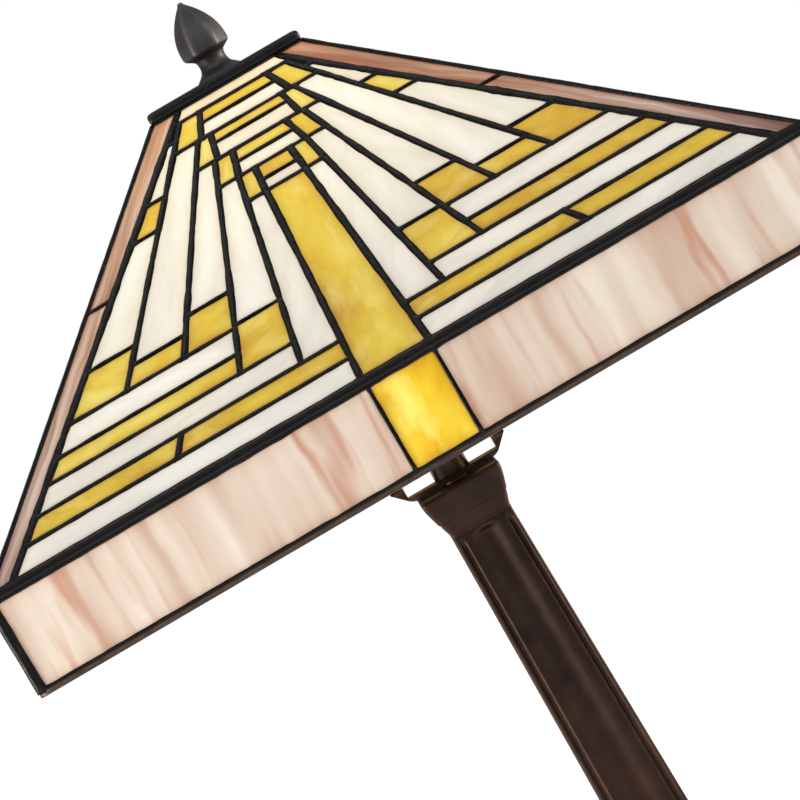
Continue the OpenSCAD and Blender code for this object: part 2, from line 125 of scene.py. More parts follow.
class Tree:
    """A material's node tree, with short calls for adding and linking nodes."""

    def __init__(self, name):
        self.material = bpy.data.materials.new(name)
        self.material.use_nodes = True
        self.nodes = self.material.node_tree.nodes
        self.links = self.material.node_tree.links
        self.nodes.clear()
        self.shader = self.nodes.new("ShaderNodeBsdfPrincipled")
        output = self.nodes.new("ShaderNodeOutputMaterial")
        self.links.new(self.shader.outputs[0], output.inputs["Surface"])

    def set(self, **values):
        for name, value in values.items():
            socket = self.shader.inputs[name.replace("_", " ")]
            self.put(socket, value)

    def put(self, socket, value):
        if isinstance(value, bpy.types.NodeSocket):
            self.links.new(value, socket)
        elif isinstance(value, tuple) and len(value) == 3 and socket.type == "RGBA":
            socket.default_value = (*value, 1)
        else:
            socket.default_value = value

    def attribute(self, name, output="Fac"):
        node = self.nodes.new("ShaderNodeAttribute")
        node.attribute_name = name
        return node.outputs[output]

    def position(self):
        return self.nodes.new("ShaderNodeTexCoord").outputs["Object"]

    def scaled(self, vector, scale):
        node = self.nodes.new("ShaderNodeMapping")
        self.links.new(vector, node.inputs["Vector"])
        node.inputs["Scale"].default_value = scale
        return node.outputs[0]

    def noise(self, vector, scale, detail=3, roughness=0.5, distortion=0, output="Fac"):
        node = self.nodes.new("ShaderNodeTexNoise")
        self.links.new(vector, node.inputs["Vector"])
        node.inputs["Scale"].default_value = scale
        node.inputs["Detail"].default_value = detail
        node.inputs["Roughness"].default_value = roughness
        node.inputs["Distortion"].default_value = distortion
        return node.outputs[output]

    def ramp(self, factor, stops, smooth=False):
        node = self.nodes.new("ShaderNodeValToRGB")
        self.links.new(factor, node.inputs[0])
        ramp = node.color_ramp
        if smooth:
            ramp.interpolation = "EASE"
        while len(ramp.elements) < len(stops):
            ramp.elements.new(1)
        for element, (place, colour) in zip(ramp.elements, stops):
            element.position = place
            element.color = (*colour, 1) if isinstance(colour, tuple) else (colour, colour, colour, 1)
        return node.outputs[0]

    def mix(self, factor, a, b, blend="MIX"):
        node = self.nodes.new("ShaderNodeMix")
        node.data_type = "RGBA"
        node.blend_type = blend
        for socket, value in ((node.inputs[0], factor), (node.inputs[6], a), (node.inputs[7], b)):
            self.put(socket, value)
        return node.outputs[2]

    def math(self, operation, a, b=0.0, clamp=False):
        node = self.nodes.new("ShaderNodeMath")
        node.operation = operation
        node.use_clamp = clamp
        self.put(node.inputs[0], a)
        self.put(node.inputs[1], b)
        return node.outputs[0]

    def bump(self, height, strength, distance):
        node = self.nodes.new("ShaderNodeBump")
        node.inputs["Strength"].default_value = strength
        node.inputs["Distance"].default_value = distance
        self.links.new(height, node.inputs["Height"])
        self.links.new(node.outputs[0], self.shader.inputs["Normal"])


def srgb(red, green, blue):
    """A colour as it is seen, from 0 to 255, in the linear values that shaders take."""
    def linear(value):
        value /= 255
        return value / 12.92 if value < 0.04045 else ((value + 0.055) / 1.055) ** 2.4
    return (linear(red), linear(green), linear(blue))


# ---------------------------------------------------------------- materials


def glass_material(name, low, high, wisp, wisp_share, stretch, shadow, glow, detail=4, wisp_from=0.52):
    """Opalescent sheet glass: stretched streaks, wisps of another colour, painted shade along the edges, light
    from within painted as emission.

    low and high are the streak colours at the apron and at the cap, each from dark to light; the cap colours
    are lighter and warmer as painted light from the bulb. The sheet attribute holds (along the streaks, across
    them, seed) in metres, tone varies each piece, height blends from the apron colours at 0 to the cap colours
    at 1, rim falls to nothing at the edge of the glass and sets the painted shade there, and glow is how
    brightly the bulb lights a place.
    """
    tree = Tree(name)
    sheet = tree.attribute("sheet", "Vector")
    drift = tree.noise(sheet, 30, detail=2, output="Color")
    bent = tree.mix(0.006, sheet, drift, "ADD")
    streaks = tree.noise(tree.scaled(bent, stretch), 1, detail, roughness=0.55)
    tone = tree.math("MULTIPLY", tree.math("SUBTRACT", tree.attribute("tone"), 0.5), 0.14)
    place = tree.math("ADD", streaks, tone)
    height = tree.attribute("height")
    stops = (0.3, 0.48, 0.68)
    # painted light: height blends the apron colours into the lighter, warmer cap colours, which stand for the
    # bulb's stronger light near the cap
    body = tree.mix(height, tree.ramp(place, list(zip(stops, low))), tree.ramp(place, list(zip(stops, high))))
    wisp_noise = tree.noise(tree.scaled(bent, tuple(1.6 * s for s in stretch)), 1, detail, 0.55, 0.3)
    colour = tree.mix(tree.ramp(wisp_noise, [(wisp_from, 0.0), (wisp_from + 0.22, wisp_share)]),
                      body, wisp)
    fine = tree.noise(tree.scaled(bent, tuple(6 * s for s in stretch)), 1)
    colour = tree.mix(0.4, colour, tree.ramp(fine, [(0.3, 0.92), (0.7, 1.0)]), "MULTIPLY")
    # painted shade: the colour darkens towards the glass edge where the came meets it, down to the shadow
    # colour at the edge
    shade = tree.ramp(tree.attribute("rim"), [(0.0, shadow), (0.3, half_way(shadow)), (1.0, 1.0)])
    colour = tree.mix(1.0, colour, shade, "MULTIPLY")
    tree.set(Base_Color=colour, Roughness=0.22, IOR=1.45, Specular_IOR_Level=0.35)
    tree.set(Emission_Color=tree.mix(1.0, colour, (1.0, 0.9, 0.72), "MULTIPLY"))
    tree.set(Emission_Strength=tree.math("MULTIPLY", tree.attribute("glow"), glow))
    tree.bump(tree.noise(sheet, 150), 0.2, 0.0006)
    return tree.material


def half_way(colour):
    """A colour half way from the given one to white."""
    return tuple(0.5 + 0.5 * c for c in colour)


def solder_material(name, base, rough, glint):
    """Black patina on solder: dark, slightly blue where it catches light, lumpy and glossy."""
    tree = Tree(name)
    place = tree.position()
    patches = tree.noise(place, 90, detail=4)
    colour = tree.ramp(patches, [(0.35, base), (0.72, glint)])
    tree.set(Base_Color=colour, Metallic=0.7)
    tree.set(Roughness=tree.ramp(tree.noise(place, 240, detail=2), [(0.3, rough), (0.8, rough + 0.22)]))
    tree.bump(tree.noise(place, 420, detail=3), 0.45, 0.0007)
    return tree.material


def cast_material(name, dark, light, worn_and_highlight, rough, metallic=0.6):
    """Patinated cast metal: mottled body, with lighter convex edges that are partly rubbed wear and partly
    painted highlight.
    """
    tree = Tree(name)
    place = tree.position()
    mottle = tree.noise(place, 38, detail=5, roughness=0.6)
    body = tree.mix(tree.ramp(mottle, [(0.32, 0.0), (0.7, 1.0)]), dark, light)
    scuffs = tree.noise(place, 210, detail=4, roughness=0.7)
    # lighter convex edges: partly rubbed wear, partly painted highlight on edges that catch the light
    wear = tree.attribute("wear")
    edge = tree.math("MULTIPLY", wear, tree.ramp(scuffs, [(0.3, 0.35), (0.65, 1.0)]), clamp=True)
    tree.set(Base_Color=tree.mix(edge, body, worn_and_highlight), Metallic=metallic)
    tree.set(Roughness=tree.ramp(scuffs, [(0.25, rough - 0.06), (0.75, rough + 0.1)]))
    grain = tree.noise(place, 700, detail=2)
    tree.bump(tree.mix(0.35, grain, mottle), 0.18, 0.0004)
    return tree.material


def plain_material(name, colour, rough, metallic=0.0, grain=500, depth=0.15):
    """A quiet, evenly coloured material with fine grain, for hidden and moulded parts."""
    tree = Tree(name)
    place = tree.position()
    shade = tree.noise(place, 60, detail=4)
    tint = tree.ramp(shade, [(0.3, tuple(0.8 * c for c in colour)), (0.7, colour)])
    tree.set(Base_Color=tint, Metallic=metallic)
    tree.set(Roughness=tree.ramp(shade, [(0.2, max(rough - 0.08, 0.03)), (0.8, rough + 0.06)]))
    tree.bump(tree.noise(place, grain, detail=3), depth, 0.0003)
    return tree.material


SOFT = (14, 60, 1)
BANDED = (5, 52, 1)
STRIP = (7, 190, 1)
CLOUDY = (22, 46, 1)

# Each glass: apron colours, cap colours that are lighter and warmer as painted light from the bulb, wisp
# colour, wisp share, streak stretch, colour of the painted shade at its edges, glow strength.
MATERIALS = {
    "white_glass": glass_material(
        "white_glass",
        (srgb(212, 210, 204), srgb(222, 220, 213), srgb(233, 231, 225)),
        (srgb(240, 228, 198), srgb(249, 241, 214), srgb(253, 249, 232)),
        srgb(246, 232, 206), 0.4, SOFT, (0.86, 0.78, 0.7), 0.16),
    "amber_glass": glass_material(
        "amber_glass",
        (srgb(182, 140, 14), srgb(202, 166, 22), srgb(216, 190, 52)),
        (srgb(238, 188, 26), srgb(244, 214, 58), srgb(250, 236, 124)),
        srgb(242, 230, 136), 0.5, CLOUDY, (0.76, 0.62, 0.5), 0.14),
    "border_glass": glass_material(
        "border_glass",
        (srgb(96, 60, 54), srgb(142, 108, 98), srgb(198, 178, 168)),
        (srgb(172, 104, 66), srgb(206, 150, 108), srgb(232, 204, 172)),
        srgb(122, 66, 54), 0.55, STRIP, (0.78, 0.66, 0.6), 0.14),
    "cream_glass": glass_material(
        "cream_glass",
        (srgb(166, 136, 118), srgb(186, 170, 156), srgb(201, 193, 181)),
        (srgb(166, 136, 118), srgb(186, 170, 156), srgb(201, 193, 181)),
        srgb(158, 94, 58), 0.9, BANDED, (0.86, 0.74, 0.68), 0.06, detail=2.4, wisp_from=0.56),
    "peach_glass": glass_material(
        "peach_glass",
        (srgb(240, 204, 164), srgb(248, 230, 194), srgb(252, 244, 220)),
        (srgb(240, 204, 164), srgb(248, 230, 194), srgb(252, 244, 220)),
        srgb(254, 248, 228), 0.5, CLOUDY, (0.9, 0.8, 0.68), 0.2),
    "solder": solder_material("solder", srgb(2, 2, 2), 0.27, srgb(11, 11, 12)),
    "rim_bronze": cast_material(
        "rim_bronze", srgb(44, 38, 38), srgb(70, 60, 54), srgb(150, 116, 80), 0.36, 0.8),
    "bronze": cast_material(
        "bronze", srgb(22, 13, 9), srgb(44, 27, 19), srgb(118, 80, 56), 0.4, 0.8),
    "gunmetal": cast_material(
        "gunmetal", srgb(11, 11, 12), srgb(26, 26, 28), srgb(66, 67, 70), 0.38, 0.75),
    "finial_grey": cast_material(
        "finial_grey", srgb(40, 40, 42), srgb(66, 65, 65), srgb(104, 101, 98), 0.46, 0.6),
    "aged_brass": cast_material(
        "aged_brass", srgb(20, 14, 10), srgb(40, 28, 20), srgb(150, 110, 70), 0.28, 0.85),
    "brass": plain_material("brass", srgb(196, 160, 92), 0.3, 1.0),
    "steel": plain_material("steel", srgb(120, 120, 124), 0.4, 1.0),
    "nickel": plain_material("nickel", srgb(200, 200, 204), 0.25, 1.0),
    "phenolic": plain_material("phenolic", srgb(36, 30, 27), 0.35),
    "fibre": plain_material("fibre", srgb(140, 110, 78), 0.8),
    "felt": plain_material("felt", srgb(34, 40, 34), 0.95, 0.0, 1500, 0.8),
}


def bulb_material():
    """White frosted glass, lit."""
    tree = Tree("bulb_glass")
    mist = tree.noise(tree.position(), 60, detail=3)
    tint = tree.ramp(mist, [(0.3, srgb(250, 240, 220)), (0.7, srgb(255, 250, 240))])
    tree.set(Base_Color=tint, Roughness=0.3)
    tree.set(Emission_Color=tint, Emission_Strength=1.6)
    return tree.material


MATERIALS["bulb_glass"] = bulb_material()
SLOT_OF = {part["node"]: part["material_slot"] for part in frame["record"]["subparts"]}
BODY_OF = {node: body for body, group in frame["record"]["behaviour"]["bodies"].items() for node in group}


# ---------------------------------------------------------------- making pieces


def finish_piece(name, mesh, slot, body, *replaced, finish=None):
    """Adds a mesh as a piece that rides on a body and stands for CAD nodes; the slot names its material too."""
    piece = bpy.data.objects.new(name, mesh)
    bpy.context.scene.collection.objects.link(piece)
    finish = finish or slot
    if finish not in [m.name for m in mesh.materials]:
        mesh.materials.append(MATERIALS[finish])
    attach(piece, body)
    if replaced:
        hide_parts(*replaced)
    return piece


def mesh_from(name, points, faces, smooth=True):
    mesh = bpy.data.meshes.new(name)
    mesh.from_pydata([tuple(p) for p in points], [], faces)
    mesh.validate()
    if smooth:
        mesh.shade_smooth()
    return mesh


def put_attribute(mesh, name, values, kind="FLOAT"):
    layer = mesh.attributes.new(name, kind, "POINT")
    if kind == "FLOAT_VECTOR":
        layer.data.foreach_set("vector", [c for v in values for c in v])
    else:
        layer.data.foreach_set("value", values)


def mark_wear_and_highlight(mesh, reach=1.0):
    """Writes an attribute that is high on convex edges and low in flats and hollows, for lighter edges that are
    partly rubbed wear and partly painted highlight.
    """
    bm = bmesh.new()
    bm.from_mesh(mesh)
    wear = []
    for vertex in bm.verts:
        bend = 0.0
        for edge in vertex.link_edges:
            arm = edge.other_vert(vertex).co - vertex.co
            if arm.length > 1e-9:
                bend -= arm.normalized().dot(vertex.normal)
        share = bend / max(len(vertex.link_edges), 1)
        wear.append(min(max(share * 3.2 * reach, 0.0), 1.0))
    bm.free()
    put_attribute(mesh, "wear", wear)


def ring_faces(rings, size, closed_ends=True):
    """Quads between successive rings of the same size, and caps on the first and last."""
    faces = []
    for row in range(rings - 1):
        for k in range(size):
            a = row * size + k
            b = row * size + (k + 1) % size
            faces.append((a, b, b + size, a + size))
    if closed_ends:
        faces.append(tuple(reversed(range(size))))
        faces.append(tuple(range((rings - 1) * size, rings * size)))
    return faces


def rounded(profile, radius, step):
    """A polyline whose inner corners are rounded off and whose straights are cut into short steps."""
    points = [Vector(p) for p in profile]
    path = [points[0]]
    for before, corner, after in zip(points, points[1:], points[2:]):
        into, out = before - corner, after - corner
        reach = min(radius, into.length / 2.2, out.length / 2.2)
        start, end = corner + into.normalized() * reach, corner + out.normalized() * reach
        for k in range(5):
            t = k / 4
            path.append(start * (1 - t) ** 2 + corner * 2 * t * (1 - t) + end * t * t)
    path.append(points[-1])
    fine = [path[0]]
    for a, b in zip(path, path[1:]):
        cuts = max(1, math.ceil((b - a).length / step))
        fine.extend(a.lerp(b, k / cuts) for k in range(1, cuts + 1))
    return fine


def square_ring(half, corner, across, bend, depth):
    """The points of a rounded square, counter-clockwise; depth(u) sinks a face at u = -1 to 1."""
    points = []
    for side in range(4):
        turn = Matrix.Rotation(side * math.pi / 2, 2)
        flat = half - corner
        for k in range(across + 1):
            u = -1 + 2 * k / across
            points.append(turn @ Vector((u * flat, -half + depth(u))))
        for k in range(1, bend):
            angle = -math.pi / 2 + k / bend * math.pi / 2
            points.append(turn @ Vector((flat + corner * math.cos(angle), -flat + corner * math.sin(angle))))
    return points


def square_loft(name, profile, corner, across=12, bend=5, depth=lambda u, z: 0.0, close=True):
    """A square solid through (half-width, height) points, with rounded upright corners."""
    points = []
    size = 4 * (across + bend)
    for half, z in profile:
        ring = square_ring(half, min(corner, half * 0.9), across, bend, lambda u: depth(u, z))
        points.extend((p.x, p.y, z) for p in ring)
    return mesh_from(name, points, ring_faces(len(profile), size, close))


def lathe(name, profile, sides=64, close=True):
    """A round solid through (radius, height) points."""
    points = []
    for radius, z in profile:
        for k in range(sides):
            angle = 2 * math.pi * k / sides
            points.append((radius * math.cos(angle), radius * math.sin(angle), z))
    return mesh_from(name, points, ring_faces(len(profile), sides, close))


def islands(node):
    """The separate closed solids of a CAD node, as lists of merged faces in a bmesh."""
    bm = bmesh.new()
    bm.from_mesh(nodes[node].data)
    bmesh.ops.remove_doubles(bm, verts=bm.verts, dist=1e-6)
    bmesh.ops.dissolve_limit(bm, angle_limit=0.02, verts=bm.verts, edges=bm.edges)
    bm.faces.ensure_lookup_table()
    unseen = set(bm.faces)
    groups = []
    while unseen:
        stack = [unseen.pop()]
        group = []
        while stack:
            face = stack.pop()
            group.append(face)
            for edge in face.edges:
                for other in edge.link_faces:
                    if other in unseen:
                        unseen.remove(other)
                        stack.append(other)
        groups.append(group)
    return bm, groups


def outer_outline(group, centre):
    """The corners of a flat solid's outward broad face, its outward normal and its thickness."""
    broad = sorted(group, key=lambda f: -f.calc_area())[:2]
    away = lambda f: (f.calc_center_median() - centre).dot(f.normal)
    outer = max(broad, key=away)
    inner = min(broad, key=away)
    thickness = abs((outer.calc_center_median() - inner.calc_center_median()).dot(outer.normal))
    return [v.co.copy() for v in outer.verts], outer.normal.copy(), thickness


def offset_outline(corners, normal, distances):
    """The outline with each edge moved outwards in its own plane by its own distance."""
    moved = []
    count = len(corners)
    for k, corner in enumerate(corners):
        before = (corner - corners[k - 1]).normalized().cross(normal)
        after = (corners[(k + 1) % count] - corner).normalized().cross(normal)
        first, second = distances[k - 1], distances[k]
        lean = min(max(before.dot(after), -0.8), 0.98)
        shift = before * (first - second * lean) + after * (second - first * lean)
        moved.append(corner + shift / (1 - lean * lean))
    return moved


shade_centre = Vector((0, 0, rim_z + 50 * MM))


def glow_at(point, normal):
    """How brightly the bulb lights the glass from behind, about 1 close above it."""
    ray = point - bulb_centre
    facing = max(abs(ray.normalized().dot(normal)), 0.1)
    return min(facing * (0.085 / ray.length) ** 2, 1.4)


# ---------------------------------------------------------------- leaded glass

# Half the width of the came along each kind of edge, and how far solder laps over the glass there
LEVEL_CAME, LEVEL_LAP = 1.4 * MM, 0.0 * MM
STEEP_CAME, STEEP_LAP = 1.65 * MM, 0.2 * MM
BORDER_CAME, BORDER_LAP = 2.0 * MM, 0.3 * MM
APRON_CAME, APRON_LAP = 1.1 * MM, 0.0 * MM
HIP_CAME, HIP_LAP = 0.5 * MM, 0.0 * MM
CROWN_CAME, CROWN_LAP = 0.9 * MM, 0.0 * MM
# How far the glass runs on past its own edge under the solder, at the hips, at the cap and elsewhere
HIP_REACH = 1.3 * MM
CROWN_REACH = 1.1 * MM
GLASS_OVERLAP = 0.6 * MM
CELL = 5 * MM
WAVE = 0.12 * MM


class Sheet:
    """One piece of flat glass read from the frame: its outline, directions, and the came along each edge."""

    def __init__(self, group, kind):
        self.corners, self.normal, self.thickness = outer_outline(group, shade_centre)
        self.is_quad = len(self.corners) == 4
        self.level = Vector((0, 0, 1)).cross(self.normal).normalized()
        self.upward = self.normal.cross(self.level)
        self.middle = sum(self.corners, Vector()) / len(self.corners)
        edges = [(self.corners[k], self.corners[(k + 1) % len(self.corners)]) for k in range(len(self.corners))]
        rises = [abs((b - a).normalized().dot(self.upward)) for a, b in edges]
        aside = [abs((a + b).dot(self.level)) if rise > 0.2 else 0 for (a, b), rise in zip(edges, rises)]
        heights = [(a + b).z / 2 for a, b in edges]
        self.cames = []
        self.laps = []
        self.reaches = []
        for rise, from_middle, height in zip(rises, aside, heights):
            reach = 0.0
            if kind == "apron":
                came, lap = APRON_CAME, APRON_LAP
            elif kind == "border" and from_middle == max(aside):
                came, lap, reach = HIP_CAME, HIP_LAP, HIP_REACH
            elif height > crown_z - 4 * MM:
                came, lap, reach = CROWN_CAME, CROWN_LAP, CROWN_REACH
            elif rise < 0.2:
                came, lap = LEVEL_CAME, LEVEL_LAP
            elif kind == "border":
                came, lap = BORDER_CAME, BORDER_LAP
            else:
                came, lap = STEEP_CAME, STEEP_LAP
            self.cames.append(came)
            self.laps.append(lap)
            self.reaches.append(reach)

    def glass_outline(self):
        return offset_outline(self.corners, self.normal,
                              [reach if reach else GLASS_OVERLAP for reach in self.reaches])

    def came_outline(self):
        return offset_outline(self.corners, self.normal,
                              [came + reach for came, reach in zip(self.cames, self.reaches)])


def kind_of(node):
    return "border" if "border" in node else "apron" if "apron" in node else "panel"


def sheets_of(node):
    bm, groups = islands(node)
    found = [Sheet(group, kind_of(node)) for group in groups]
    bm.free()
    return [sheet for sheet in found if sheet.is_quad]


def cuts(length):
    """Places from 0 to 1 across a sheet, closer together near its edges."""
    near = [0, 1.2 * MM, 2.6 * MM, 4.2 * MM]
    if length < 12 * MM:
        return [k / 8 for k in range(9)]
    steps = max(1, round((length - 2 * near[-1]) / CELL))
    inner = [near[-1] + (length - 2 * near[-1]) * k / steps for k in range(1, steps)]
    return [d / length for d in near + inner + [length - d for d in reversed(near)]]


def glass_pieces(node, rng, streaks_upright):
    """All the glass of one CAD node: gently waved sheets whose edges go under the solder."""
    points, faces, streaks, tone, glow, height, rim = [], [], [], [], [], [], []
    for sheet in sheets_of(node):
        corners, normal = sheet.glass_outline(), sheet.normal
        lengths = [(corners[(k + 1) % 4] - corners[k]).length for k in range(4)]
        wide, tall = max(lengths[0], lengths[2]), max(lengths[1], lengths[3])
        first, second = cuts(wide), cuts(tall)
        rows, columns = len(first), len(second)
        swing = rng.uniform(-0.06, 0.06) if streaks_upright else rng.uniform(-0.5, 0.5)
        steepest = max(range(4), key=lambda k: abs((corners[(k + 1) % 4] - corners[k]).dot(sheet.upward)))
        longest = (corners[(steepest + 1) % 4] - corners[steepest]).normalized()
        if kind_of(node) != "panel":
            along = sheet.upward if kind_of(node) == "apron" else longest
        else:
            along = longest if lengths[steepest] > 1.6 * min(lengths) else sheet.level
        along = (along * math.cos(swing) + normal.cross(along) * math.sin(swing)).normalized()
        across = normal.cross(along)
        seed = Vector((rng.uniform(-9, 9), rng.uniform(-9, 9), rng.uniform(-9, 9)))
        shade = rng.random()
        for layer, drop in ((0, 0.0), (1, sheet.thickness)):
            start = len(points)
            for s in first:
                low, high = corners[0].lerp(corners[1], s), corners[3].lerp(corners[2], s)
                for t in second:
                    place = low.lerp(high, t)
                    wave = noise.noise(place * 90 + seed) * WAVE
                    points.append(place + normal * (wave - drop))
                    local = place - sheet.middle
                    streaks.append(Vector((local.dot(along), local.dot(across), 0)) + seed)
                    tone.append(shade)
                    glow.append(glow_at(place, normal))
                    # height runs from the apron to the cap and blends in the painted light of the cap colours
                    height.append(min(max((place.z - apron_top) / (crown_z - apron_top), 0), 1))
                    # rim: 0 at the glass edge under the came, 1 from 5 mm in; the material paints shade along
                    # the edges with it
                    inward = min(s * wide, (1 - s) * wide, t * tall, (1 - t) * tall) - GLASS_OVERLAP
                    rim.append(min(max(inward / (5 * MM), 0), 1))
            for i in range(rows - 1):
                for j in range(columns - 1):
                    a = start + i * columns + j
                    quad = (a, a + columns, a + columns + 1, a + 1)
                    faces.append(quad if layer == 0 else tuple(reversed(quad)))
        top = start - rows * columns
        edge = [i * columns for i in range(rows)]
        edge += [(rows - 1) * columns + j for j in range(1, columns)]
        edge += [i * columns + columns - 1 for i in range(rows - 2, -1, -1)]
        edge += list(range(columns - 2, 0, -1))
        for a, b in zip(edge, edge[1:] + edge[:1]):
            faces.append((top + a, start + a, start + b, top + b))
    mesh = mesh_from("glass_" + node, points, faces)
    put_attribute(mesh, "sheet", streaks, "FLOAT_VECTOR")
    for name, values in (("tone", tone), ("glow", glow), ("height", height), ("rim", rim)):
        put_attribute(mesh, name, values)
    return finish_piece("glass_" + node, mesh, SLOT_OF[node], BODY_OF[node], node)


# ---------------------------------------------------------------- solder

JOINT_SWELL = 0.3 * MM
BEAD_PROUD = 0.75 * MM
BEAD_STEP = 3.2 * MM
BEAD_SIDES = 8


def lump(place):
    """A bead's swelling at a place, the same for every run of solder that passes there."""
    return 1 + 0.14 * noise.noise(place * 110) + 0.08 * noise.noise(place * 330)


def bead_rings(path, wide_axes, normals, halves, tall, closed, points, faces):
    """Adds an elliptical bead along a path, with its own width and sideways and outward axis at each point."""
    start = len(points)
    for place, wide, normal, half in zip(path, wide_axes, normals, halves):
        swell = lump(place)
        for k in range(BEAD_SIDES):
            angle = 2 * math.pi * (k + 0.5) / BEAD_SIDES
            out = wide * (half * swell * math.cos(angle)) + normal * (tall * swell * math.sin(angle))
            points.append(place + out)
    count = len(path)
    for row in range(count if closed else count - 1):
        a0 = start + row * BEAD_SIDES
        b0 = start + ((row + 1) % count) * BEAD_SIDES
        for k in range(BEAD_SIDES):
            n = (k + 1) % BEAD_SIDES
            faces.append((a0 + k, a0 + n, b0 + n, b0 + k))
    if not closed:
        faces.append(tuple(range(start + BEAD_SIDES - 1, start - 1, -1)))
        last = start + (count - 1) * BEAD_SIDES
        faces.append(tuple(range(last, last + BEAD_SIDES)))


def came_bead(sheet, points, faces):
    """A closed bead along the middle of the came round one piece of glass."""
    corners = sheet.came_outline()
    tall = sheet.thickness / 2 + BEAD_PROUD
    at_face = math.sqrt(1 - (sheet.thickness / 2 / tall) ** 2)
    wide = [(came + lap) / at_face for came, lap in zip(sheet.cames, sheet.laps)]
    path, axes, halves = [], [], []
    for k, corner in enumerate(corners):
        following = corners[(k + 1) % 4]
        run = following - corner
        sideways = run.normalized().cross(sheet.normal)
        mitre = sideways + (corner - corners[k - 1]).normalized().cross(sheet.normal)
        mitre /= max(mitre.length_squared / 2, 0.6)
        depth = sheet.normal * (sheet.thickness / 2)
        path.append(corner - depth)
        axes.append(mitre)
        halves.append((wide[k - 1] + wide[k]) / 2 + JOINT_SWELL)
        steps = max(2, round(run.length / BEAD_STEP))
        for j in range(1, steps):
            path.append(corner.lerp(following, j / steps) - depth)
            axes.append(sideways)
            halves.append(wide[k])
    bead_rings(path, axes, [sheet.normal] * len(path), halves, tall, True, points, faces)


def straight_bead(start, end, outward, half, tall, points, faces):
    """An open bead from one point to another."""
    run = end - start
    steps = max(3, round(run.length / BEAD_STEP))
    wide = run.normalized().cross(outward).normalized()
    path = [start.lerp(end, k / steps) for k in range(steps + 1)]
    bead_rings(path, [wide] * len(path), [outward] * len(path), [half] * len(path), tall, False, points, faces)


def side_direction(side):
    return Matrix.Rotation(side * math.pi / 2, 3, "Z") @ Vector((0, -1, 0))


def panel_solder(side, glass_nodes, lead_node, name):
    """The raised solder lines round every piece of glass in one panel or apron."""
    points, faces = [], []
    for node in glass_nodes:
        for sheet in sheets_of(node):
            flat = Vector((sheet.normal.x, sheet.normal.y, 0)).normalized()
            if flat.dot(side_direction(side)) > 0.9:
                came_bead(sheet, points, faces)
    mesh = mesh_from(name, points, faces)
    return finish_piece(name, mesh, "solder", BODY_OF[lead_node], lead_node)


def blob(centre, radius, points, faces):
    """A rounded lump of solder where seams meet."""
    start = len(points)
    bm = bmesh.new()
    bmesh.ops.create_icosphere(bm, subdivisions=3, radius=radius)
    for vertex in bm.verts:
        place = centre + vertex.co
        points.append(centre + vertex.co * lump(place))
    for face in bm.faces:
        faces.append(tuple(start + v.index for v in face.verts))
    bm.free()


def seam_piece():
    """Hip, apron-top and apron-corner seams, with a lump of solder at every corner."""
    points, faces = [], []
    for side in range(4):
        turn = Matrix.Rotation(side * math.pi / 2, 3, "Z")
        inset = 1.1 * MM
        corner = Vector((-half_width + inset, -half_width + inset, apron_top))
        following = Vector((half_width - inset, -half_width + inset, apron_top))
        crown = Vector((-crown_half, -crown_half, crown_z - 1 * MM))
        foot = Vector((corner.x, corner.y, rim_high.z - 1 * MM))
        hip_out = Vector((-1, -1, 1.6)).normalized()
        lifted = hip_out * 0.4 * MM
        low_out = Vector((0, -1, 0.45)).normalized()
        corner_out = Vector((-1, -1, 0)).normalized()
        straight_bead(turn @ (corner + lifted), turn @ (crown + lifted), turn @ hip_out,
                      1.15 * MM, 1.05 * MM, points, faces)
        straight_bead(turn @ corner, turn @ following, turn @ low_out, 2.3 * MM, 2 * MM, points, faces)
        straight_bead(turn @ corner, turn @ foot, turn @ corner_out, 2.3 * MM, 1.9 * MM, points, faces)
        blob(turn @ corner, 2.4 * MM, points, faces)
    mesh = mesh_from("seams", points, faces)
    return finish_piece("seams", mesh, "solder", "shade", "seam_solder")


# ---------------------------------------------------------------- shade

rng = random.Random(7)
for side, name in enumerate(SIDES):
    glass_pieces(f"panel_white_{name}", rng, False)
    glass_pieces(f"panel_amber_{name}", rng, False)
    glass_pieces(f"panel_border_{name}", rng, True)
    glass_pieces(f"apron_cream_{name}", rng, True)
    panel = [f"panel_{kind}_{name}" for kind in ("white", "amber", "border")] + ["crown_glass"]
    panel_solder(side, panel, f"panel_lead_{name}", f"panel_solder_{name}")
    panel_solder(side, [f"apron_cream_{name}", "apron_amber"], f"apron_lead_{name}", f"apron_solder_{name}")
glass_pieces("crown_glass", rng, False)
glass_pieces("apron_amber", rng, True)
seam_piece()


def rim_piece():
    """The rim: a folded channel with a rounded wire along its lower edge."""
    low, high = rim_z, rim_high.z
    outer, inner = half_width, half_width - 3.4 * MM
    outline = [(inner, high), (outer - 0.5 * MM, high), (outer, high - 0.6 * MM), (outer, low + 1.6 * MM),
               (outer + 0.25 * MM, low + 1 * MM), (outer - 0.2 * MM, low + 0.2 * MM),
               (outer - 1.2 * MM, low), (inner + 0.6 * MM, low), (inner, low + 0.6 * MM)]
    points, faces = [], []
    per_side = 60
    count = len(outline)
    stations = []
    for side in range(4):
        turn = Matrix.Rotation(side * math.pi / 2, 3, "Z")
        stations.extend((turn, -1 + 2 * k / per_side) for k in range(per_side))
    for turn, u in stations:
        for reach, z in outline:
            place = Vector((u * reach, -reach, z))
            uneven = 1 + 0.0006 * noise.noise(place * 60)
            points.append(turn @ Vector((place.x, place.y * uneven, z)))
    total = len(stations)
    for s in range(total):
        for k in range(count):
            a, b = s * count, ((s + 1) % total) * count
            n = (k + 1) % count
            faces.append((a + k, b + k, b + n, a + n))
    mesh = mesh_from("rim", points, faces)
    mark_wear_and_highlight(mesh, 1.5)
    return finish_piece("rim", mesh, "rim_bronze", "shade", "shade_rim")


rim_piece()


